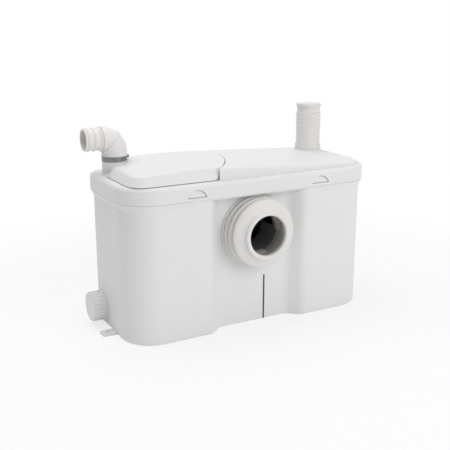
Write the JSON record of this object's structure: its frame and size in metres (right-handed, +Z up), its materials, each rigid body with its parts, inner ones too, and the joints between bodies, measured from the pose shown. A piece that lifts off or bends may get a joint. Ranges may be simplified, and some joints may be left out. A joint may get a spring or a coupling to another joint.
{
  "type": "macerator toilet pump",
  "caption": "White box-shaped macerator pump for a toilet: tank with clip-on lid, rubber pan inlet in a front recess, swivel discharge elbow, top and side inlets, motor, cutter and pump inside.",
  "frame": {"origin": "on the floor under the middle of the tank, on the tank's flat underside", "axes": "+Z up, +X to the right along the broad front, front and pan inlet towards -Y"},
  "size_m": [0.4892, 0.2222, 0.341],
  "materials": {
    "tank_white": "satin moulded white",
    "lid_white": "satin moulded white",
    "pale_rubber": "matt pale rubber",
    "pale_fitting": "matt pale plastic",
    "mark_grey": "matt dark grey",
    "clamp_steel": "stainless strip",
    "grey_plastic": "matt grey moulding",
    "black_plastic": "matt black moulding",
    "black_rubber": "matt black rubber",
    "motor_steel": "grey paint",
    "motor_alloy": "die cast",
    "core_steel": "laminated steel",
    "cutter_steel": "stainless"
  },
  "bodies": {
    "housing": {"tank": "tank_white", "lid": "lid_white", "lid_seal": "black_rubber", "inlet_sleeve": "pale_rubber", "inlet_ring": "grey_plastic", "inlet_chute": "black_plastic", "front_mark_strip": "mark_grey", "top_inlet_sleeve": "pale_rubber", "floor_bracket_left": "tank_white", "floor_bracket_right": "tank_white", "cable_gland": "black_plastic", "motor_cradle": "motor_steel", "motor_can": "motor_steel", "pump_end_bell": "motor_alloy", "cutter_end_bell": "motor_alloy", "stator": "core_steel", "pump_bearing": "cutter_steel", "cutter_bearing": "cutter_steel", "pump_shaft_seal": "black_rubber", "cutter_shaft_seal": "black_rubber", "volute_body": "grey_plastic", "volute_cover": "grey_plastic", "discharge_riser": "grey_plastic", "flap_pin": "cutter_steel", "macerator_basket": "black_plastic", "dip_tube": "grey_plastic", "pressure_switch": "grey_plastic", "micro_switch": "black_plastic", "control_box": "grey_plastic", "control_box_lid": "grey_plastic", "capacitor": "black_plastic", "terminal_block": "black_plastic", "carbon_filter": "black_plastic"},
    "rotor": {"rotor_core": "core_steel", "motor_shaft": "cutter_steel", "impeller": "grey_plastic", "cutter_blade": "cutter_steel", "cutter_nut": "cutter_steel"},
    "cover": {"access_cover": "lid_white"},
    "elbow": {"discharge_elbow": "pale_fitting", "hose_clamp": "clamp_steel"},
    "screw": {"clamp_screw": "clamp_steel"},
    "flap": {"non_return_flap": "black_rubber"},
    "side_cap": {"side_inlet_cap": "tank_white"},
    "top_plug": {"top_inlet_plug": "pale_rubber"},
    "plunger": {"switch_plunger": "mark_grey"}
  },
  "joints": [
    {"name": "rotor_spin", "type": "hinge", "parent": "housing", "child": "rotor", "pos_m": [-0.1, 0.02, 0.092], "axis": [1, 0, 0], "continuous": true},
    {"name": "cover_lift", "type": "slide", "parent": "housing", "child": "cover", "axis": [0, 0, 1], "range_m": [0, 0.06]},
    {"name": "elbow_swivel", "type": "hinge", "parent": "housing", "child": "elbow", "pos_m": [-0.188, 0.054, 0.28], "axis": [0, 0, -1], "range_deg": [-90, 90]},
    {"name": "clamp_screw_turn", "type": "hinge", "parent": "elbow", "child": "screw", "pos_m": [-0.16841, 0.06624, 0.2736], "axis": [0.5299, -0.848, 0], "continuous": true},
    {"name": "flap_swing", "type": "hinge", "parent": "housing", "child": "flap", "pos_m": [-0.188, 0.071, 0.1629], "axis": [-1, 0, 0], "range_deg": [0, 40]},
    {"name": "side_cap_pull", "type": "slide", "parent": "housing", "child": "side_cap", "axis": [-1, 0, 0], "range_m": [0, 0.03]},
    {"name": "top_plug_lift", "type": "slide", "parent": "housing", "child": "top_plug", "axis": [0, 0, 1], "range_m": [0, 0.04]},
    {"name": "plunger_press", "type": "slide", "parent": "housing", "child": "plunger", "axis": [0, 0, 1], "range_m": [0, 0.003], "stiffness_N_per_m": 200}
  ]
}
